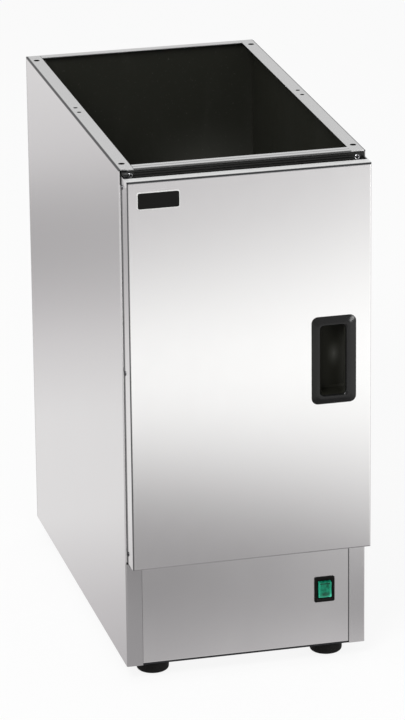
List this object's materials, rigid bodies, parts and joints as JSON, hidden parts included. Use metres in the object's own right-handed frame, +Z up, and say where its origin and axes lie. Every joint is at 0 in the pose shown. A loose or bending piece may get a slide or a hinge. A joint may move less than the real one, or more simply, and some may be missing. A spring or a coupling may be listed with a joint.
{
  "type": "hot cupboard",
  "caption": "Narrow stainless steel heated pedestal with an open flanged top, one pivot-hung door with a recessed pull, a lit rocker switch and black feet.",
  "frame": {"origin": "on the floor, in the middle of the whole part's width and depth", "axes": "+Z up, -Y out of the door, +X to the right as seen from the front"},
  "size_m": [0.3, 0.5774, 0.65],
  "materials": {
    "stainless": "fine brushed",
    "plated_steel": "zinc plated",
    "shelf_wire": "bright plated",
    "element_sheath": "heat-dulled alloy",
    "black_enamel": "black enamel",
    "black_paint": "satin black",
    "black_rubber": "matt",
    "black_plastic": "satin moulding",
    "brass": "machined",
    "ceramic": "unglazed",
    "mineral_wool": "pressed wool",
    "wire_sleeve": "silicone sleeve",
    "green_lens": "translucent lit lens"
  },
  "bodies": {
    "cabinet": {"left_side_panel": "stainless", "right_side_panel": "stainless", "back_panel": "stainless", "base_pan": "stainless", "front_top_rail": "stainless", "control_fascia": "stainless", "strip_screws": "plated_steel", "fascia_screws": "plated_steel", "left_runner": "plated_steel", "right_runner": "plated_steel", "element_supports": "plated_steel", "guard_screws": "plated_steel", "hinge_pins": "plated_steel", "foot_nuts": "plated_steel", "back_panel_screws": "plated_steel", "heating_element": "element_sheath", "cavity_floor": "black_enamel", "left_liner": "black_enamel", "right_liner": "black_enamel", "rear_liner": "black_enamel", "element_guard": "black_enamel", "upper_hinge_bracket": "black_paint", "lower_hinge_bracket": "black_paint", "seal_strip": "black_rubber", "door_buffers": "black_rubber", "front_left_foot": "black_rubber", "front_right_foot": "black_rubber", "rear_left_foot": "black_rubber", "rear_right_foot": "black_rubber", "cable_gland": "black_plastic", "gland_locknut": "black_plastic", "switch_body": "black_plastic", "magnetic_catch": "black_plastic", "element_nuts": "brass", "earth_stud": "brass", "switch_blades": "brass", "thermostat": "ceramic", "terminal_block": "ceramic", "wiring_loom": "wire_sleeve"},
    "door": {"door_outer_panel": "stainless", "door_inner_panel": "stainless", "door_insulation": "mineral_wool", "hinge_stile": "plated_steel", "hinge_bushes": "brass", "door_side_screws": "plated_steel", "door_handle": "black_plastic", "catch_plate": "plated_steel"},
    "rocker": {"switch_rocker": "green_lens"},
    "shelf": {"wire_shelf": "shelf_wire"}
  },
  "joints": [
    {"name": "door_hinge", "type": "hinge", "parent": "cabinet", "child": "door", "pos_m": [-0.1434, -0.2618, 0.40055], "axis": [0, 0, -1], "range_deg": [0, 110]},
    {"name": "switch_rock", "type": "hinge", "parent": "cabinet", "child": "rocker", "pos_m": [0.0986, -0.2523, 0.095], "axis": [1, 0, 0], "range_deg": [-8, 8]},
    {"name": "shelf_lift", "type": "slide", "parent": "cabinet", "child": "shelf", "axis": [0, 0, 1], "range_m": [0, 0.25]}
  ]
}
